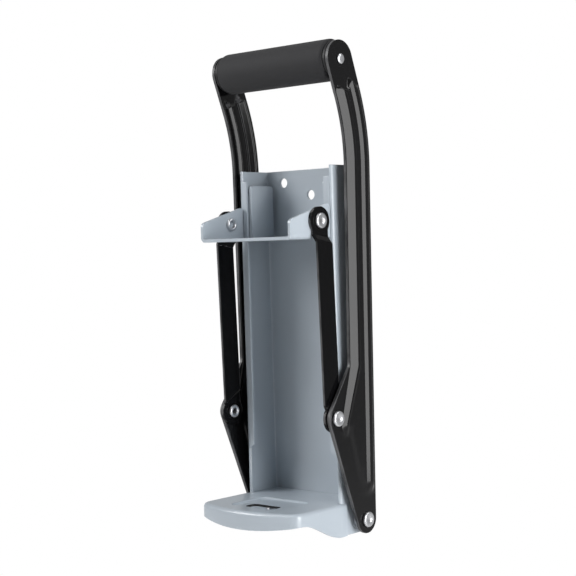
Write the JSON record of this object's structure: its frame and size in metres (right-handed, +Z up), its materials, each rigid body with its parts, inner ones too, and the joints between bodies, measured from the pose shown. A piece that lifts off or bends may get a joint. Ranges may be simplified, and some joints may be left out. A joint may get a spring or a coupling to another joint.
{
  "type": "lever can crusher",
  "caption": "Wall-mounted lever can crusher: a long handle swings down and links pull a folded ram down a channel onto a base with a bottle opener slot.",
  "frame": {"origin": "on the wall face, in the middle across, at the height of the face that the can stands on", "axes": "+X across to the right of a person facing the crusher, +Y into the wall, +Z up"},
  "size_m": [0.1056, 0.0805, 0.3158],
  "materials": {
    "grey": "gloss powder coat",
    "black": "gloss black coat",
    "zinc": "bright zinc plate",
    "foam": "matte foam",
    "core": "moulded"
  },
  "bodies": {
    "frame": {"back_channel": "grey", "base_tray": "grey", "base_rivets": "zinc", "pivot_rivet_left": "zinc", "pivot_rivet_right": "zinc", "pivot_spacer_left": "zinc", "pivot_spacer_right": "zinc"},
    "ram": {"ram": "grey", "ram_rivet_tails": "zinc"},
    "lever": {"lever_arm_left": "black", "lever_arm_right": "black", "elbow_rivet_left": "zinc", "elbow_rivet_right": "zinc", "grip_sleeve": "foam", "grip_core": "core", "cross_rod": "zinc", "grip_washer_left": "core", "grip_washer_right": "core"},
    "link_left": {"link_left": "black", "ram_rivet_left": "zinc"},
    "link_right": {"link_right": "black", "ram_rivet_right": "zinc"}
  },
  "joints": [
    {"name": "lever_swing", "type": "hinge", "parent": "frame", "child": "lever", "pos_m": [0, -0.0095, -0.012], "axis": [1, 0, 0], "range_deg": [0, 140]},
    {"name": "ram_slide", "type": "slide", "parent": "frame", "child": "ram", "axis": [0, 0, -1], "range_m": [0, 0.1385]},
    {"name": "link_left_swing", "type": "hinge", "parent": "lever", "child": "link_left", "pos_m": [-0.0444, -0.0375, 0.056], "axis": [1, 0, 0], "range_deg": [-137.6, 0]},
    {"name": "link_right_swing", "type": "hinge", "parent": "lever", "child": "link_right", "pos_m": [0.0444, -0.0375, 0.056], "axis": [1, 0, 0], "range_deg": [-137.6, 0]}
  ],
  "couplings": [
    {"joint": "ram_slide", "follows": "lever_swing", "m_per_rad": 0.056634},
    {"joint": "link_left_swing", "follows": "lever_swing", "ratio": -0.98111},
    {"joint": "link_right_swing", "follows": "lever_swing", "ratio": -0.98111}
  ]
}
